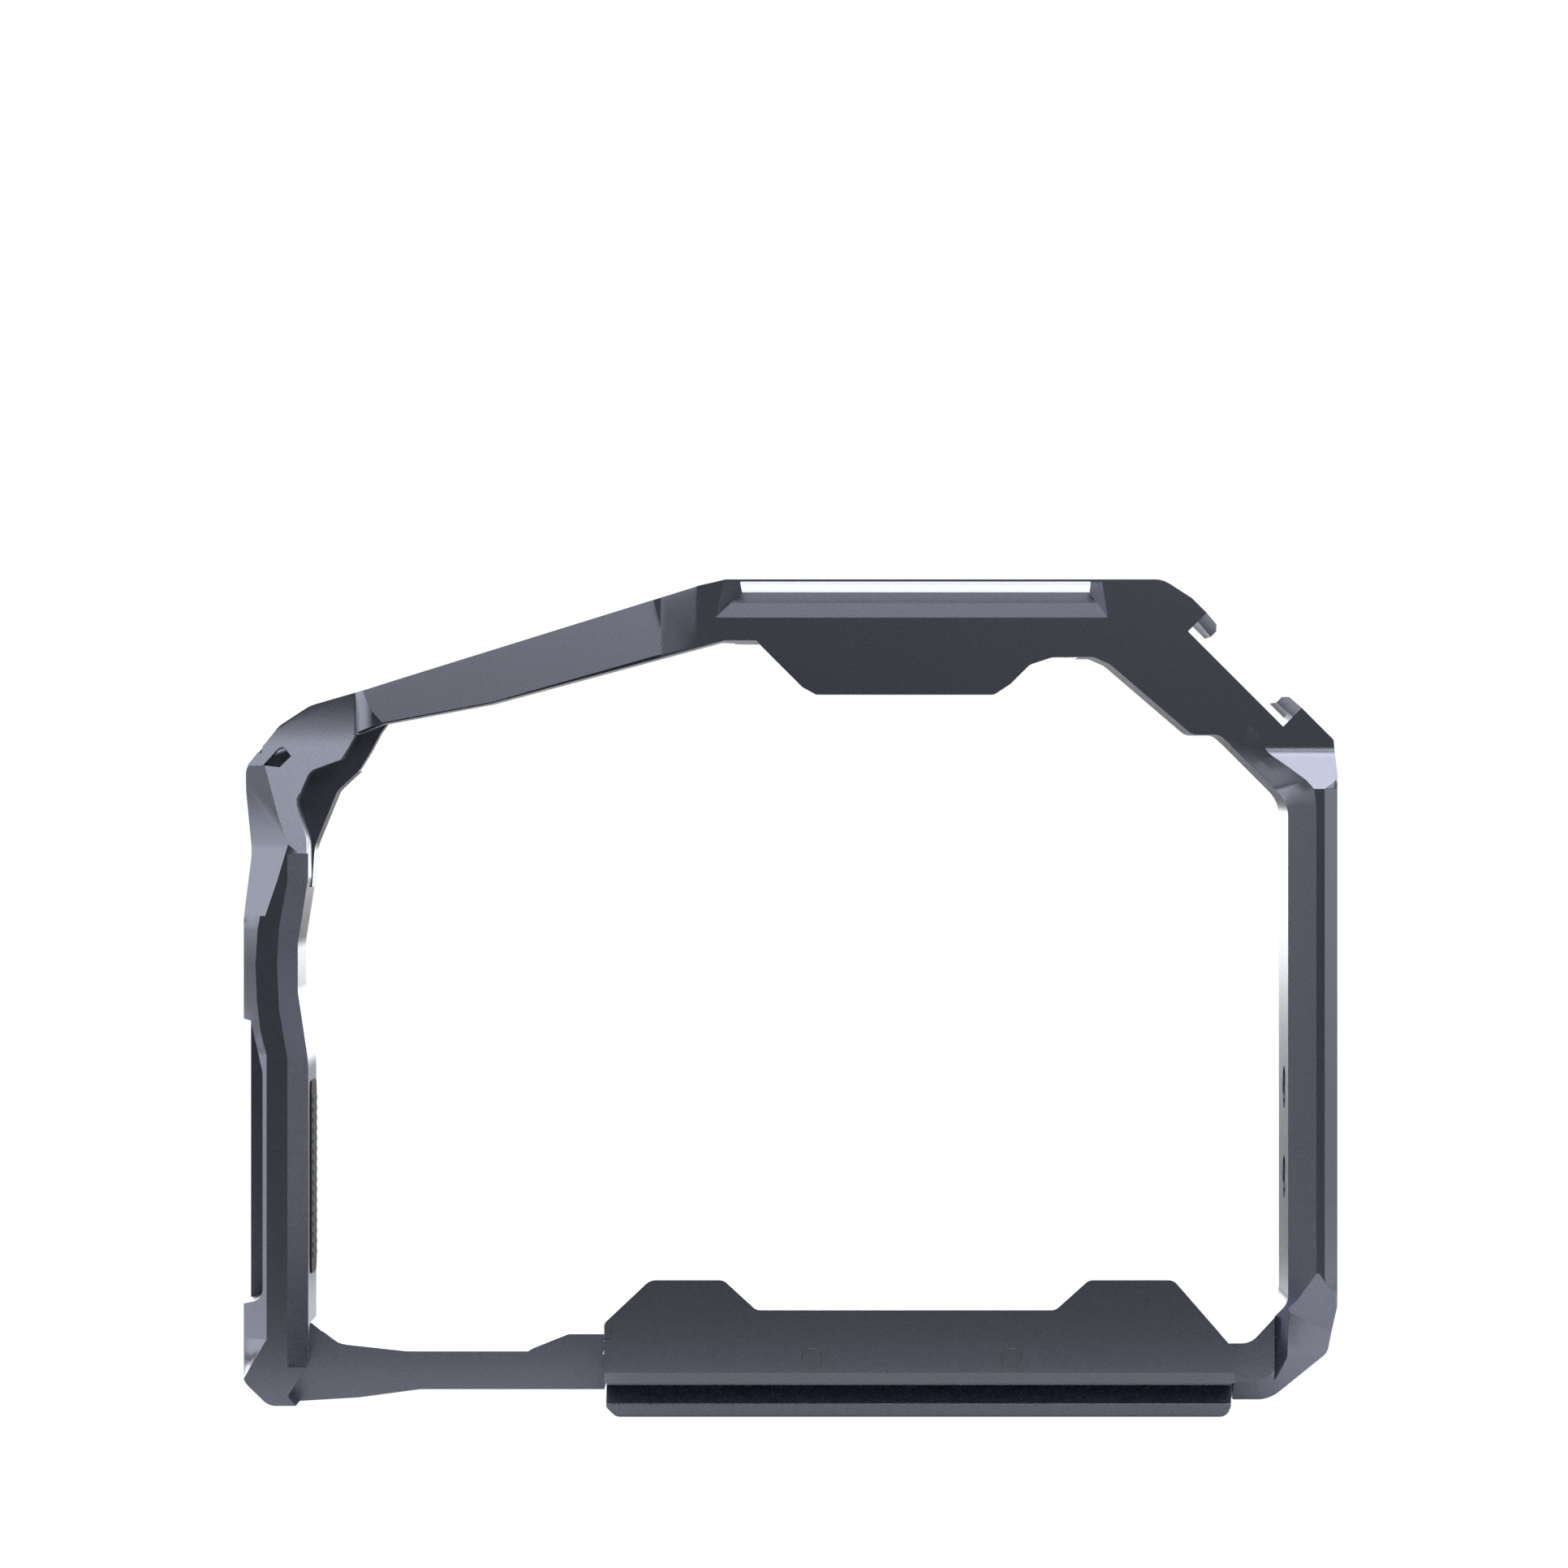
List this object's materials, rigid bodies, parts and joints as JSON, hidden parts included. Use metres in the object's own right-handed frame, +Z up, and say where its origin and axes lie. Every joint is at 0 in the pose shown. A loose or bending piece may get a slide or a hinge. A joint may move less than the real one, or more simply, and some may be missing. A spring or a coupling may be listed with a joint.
{
  "type": "camera cage",
  "caption": "Machined full cage for a mirrorless camera, with a sculpted grip-side post, front-skirted top plate, 45 degree corner shoe and dovetail quick-release foot.",
  "frame": {"origin": "underside of the quick-release foot, on the lens axis and the camera screw's axis", "axes": "+X towards the plain side post, -Y the front that the lens faces, +Z up"},
  "size_m": [0.1577, 0.043, 0.1205],
  "materials": {
    "anodised": "satin blue-black anodised",
    "dark_steel": "blackened steel",
    "steel": "stainless",
    "rubber": "matte",
    "magnet": "nickel plated"
  },
  "bodies": {
    "frame": {"left_post": "anodised", "top_plate": "anodised", "side_frame": "anodised", "base_plate": "anodised", "front_pins": "dark_steel", "top_left_screws": "dark_steel", "bottom_left_screws": "dark_steel", "top_right_screws": "dark_steel", "base_plate_screws": "dark_steel", "top_left_dowels": "steel", "bottom_left_dowels": "steel", "top_right_dowels": "steel", "base_plate_dowels": "steel", "base_pad_left": "rubber", "base_pad_right": "rubber", "left_pad": "rubber", "skirt_pad": "rubber", "key_magnets": "magnet"},
    "screw_carrier": {"camera_screw_clip": "steel"},
    "screw": {"camera_screw": "steel"},
    "ring": {"camera_screw_ring": "steel"},
    "key": {"screwdriver_key": "steel"}
  },
  "joints": [
    {"name": "camera_screw_travel", "type": "slide", "parent": "frame", "child": "screw_carrier", "axis": [0, 0, 1], "range_m": [0, 0.00254]},
    {"name": "camera_screw_turn", "type": "hinge", "parent": "screw_carrier", "child": "screw", "pos_m": [0, 0, 0.005], "axis": [0, 0, 1], "range_deg": [0, 720]},
    {"name": "ring_fold", "type": "hinge", "parent": "screw", "child": "ring", "pos_m": [0, -0.0032, 0.00085], "axis": [-1, 0, 0], "range_deg": [0, 90]},
    {"name": "key_slide", "type": "slide", "parent": "frame", "child": "key", "axis": [-1, 0, 0], "range_m": [0, 0.03]}
  ],
  "couplings": [
    {"joint": "camera_screw_turn", "follows": "camera_screw_travel", "rad_per_m": 4947.4}
  ]
}
